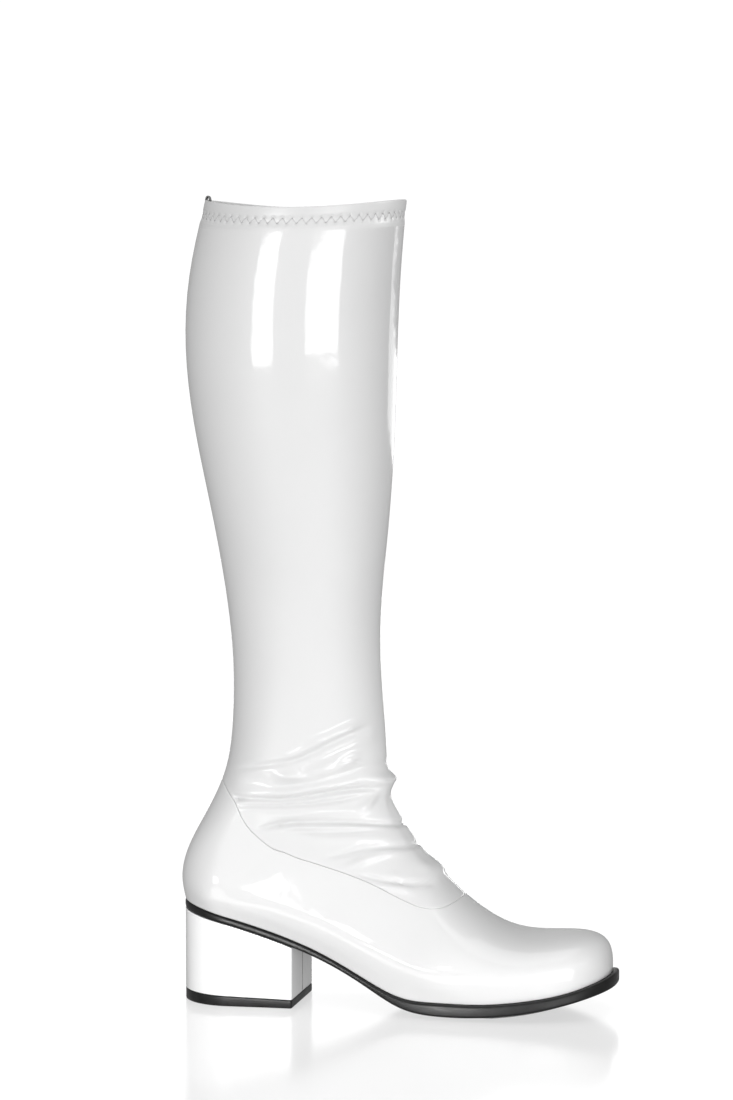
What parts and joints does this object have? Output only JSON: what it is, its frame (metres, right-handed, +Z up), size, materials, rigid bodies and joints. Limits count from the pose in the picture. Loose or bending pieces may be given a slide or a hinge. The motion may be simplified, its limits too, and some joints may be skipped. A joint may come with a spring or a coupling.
{
  "type": "chunky heel boot",
  "caption": "Knee-high pull-on boot with a stretch patent shaft, rounded square toe, low block heel and thin sole, for the right foot.",
  "frame": {"origin": "on the floor, under the middle of the boot's box", "axes": "+X towards the toe, +Y towards the inner (medial) side, +Z up"},
  "size_m": [0.2596, 0.1032, 0.4704],
  "materials": {
    "patent": "high gloss patent",
    "heel_cover": "high gloss patent",
    "rubber": "satin",
    "sock": "matt"
  },
  "bodies": {
    "root": {"outsole": "rubber", "heel_block": "heel_cover", "top_lift": "rubber", "insole": "sock", "upper": "patent", "shaft": "patent"}
  },
  "joints": []
}
